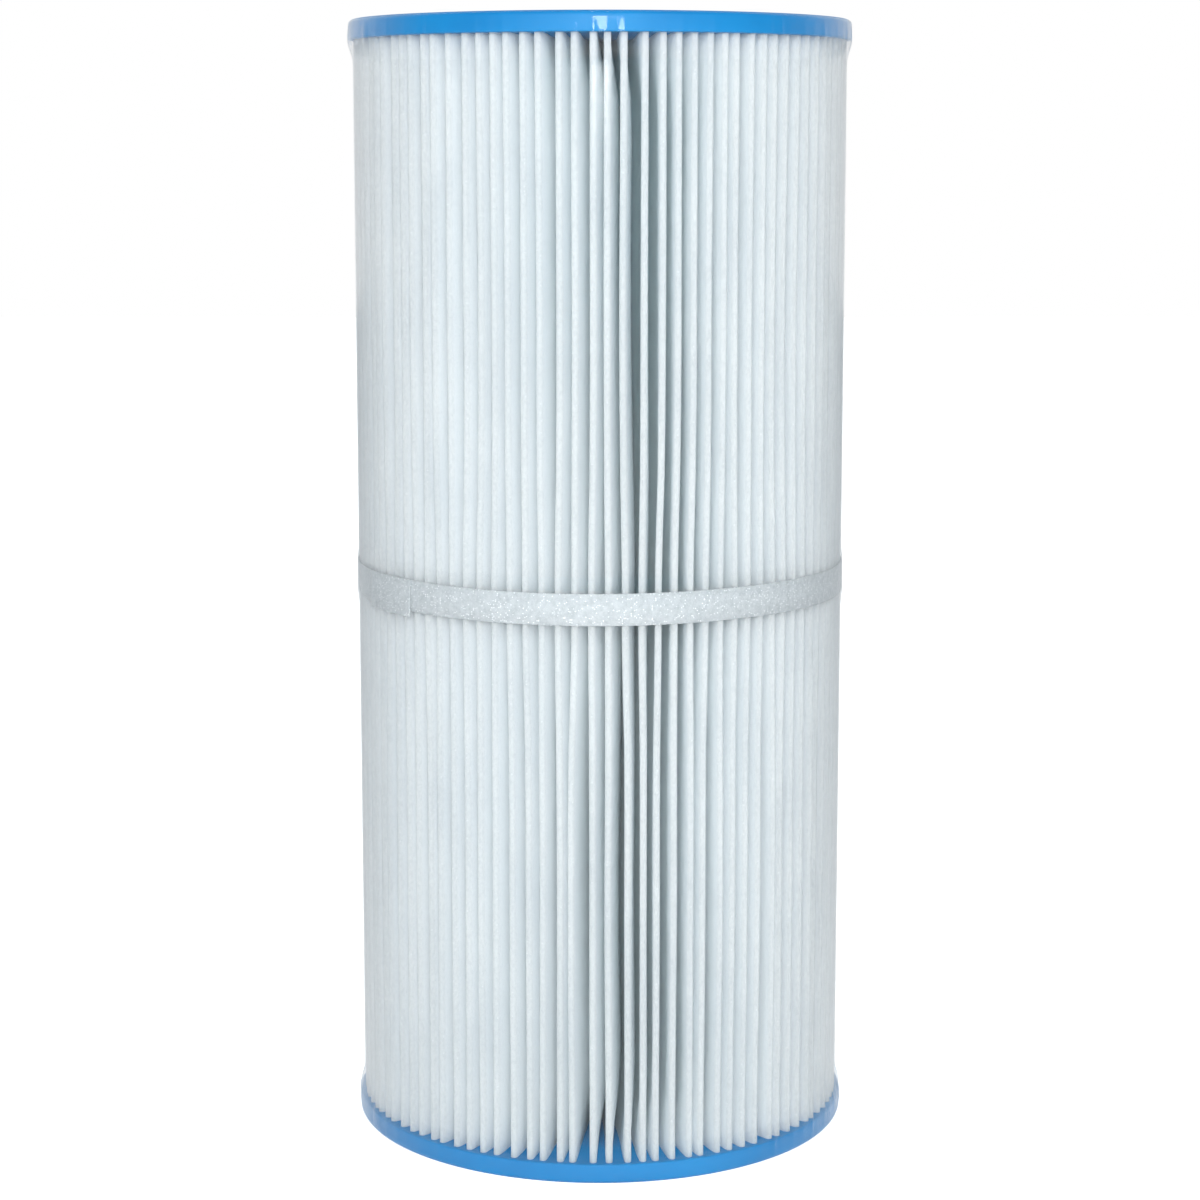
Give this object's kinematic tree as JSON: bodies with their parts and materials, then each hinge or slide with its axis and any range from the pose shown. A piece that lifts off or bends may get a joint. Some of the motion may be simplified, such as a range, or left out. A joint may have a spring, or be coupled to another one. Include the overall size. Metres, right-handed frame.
{
  "type": "pleated filter cartridge",
  "caption": "Round pleated filter cartridge with open blue end caps, a perforated core, a strap round the pleats and a clear shrink film.",
  "frame": {"origin": "middle of the bottom end cap's flat face, on the cartridge's axis", "axes": "+Z along the cartridge's axis from the bottom cap to the top cap; the strap's lap is at 213 degrees from +X, towards -X and -Y, and the cloth's glued seam is on the +Y side"},
  "size_m": [0.1528, 0.1526, 0.3397],
  "materials": {
    "cap_resin": "glossy",
    "core_plastic": "satin",
    "filter_cloth": "matte",
    "strap_cloth": "matte",
    "glue": "satin",
    "clear_film": "glossy"
  },
  "bodies": {
    "root": {"bottom_end_cap": "cap_resin", "top_end_cap": "cap_resin", "core_tube": "core_plastic", "pleated_media": "filter_cloth", "media_seam_bead": "glue", "pleat_band": "strap_cloth", "band_glue_bead": "glue", "shrink_sleeve": "clear_film"}
  },
  "joints": []
}
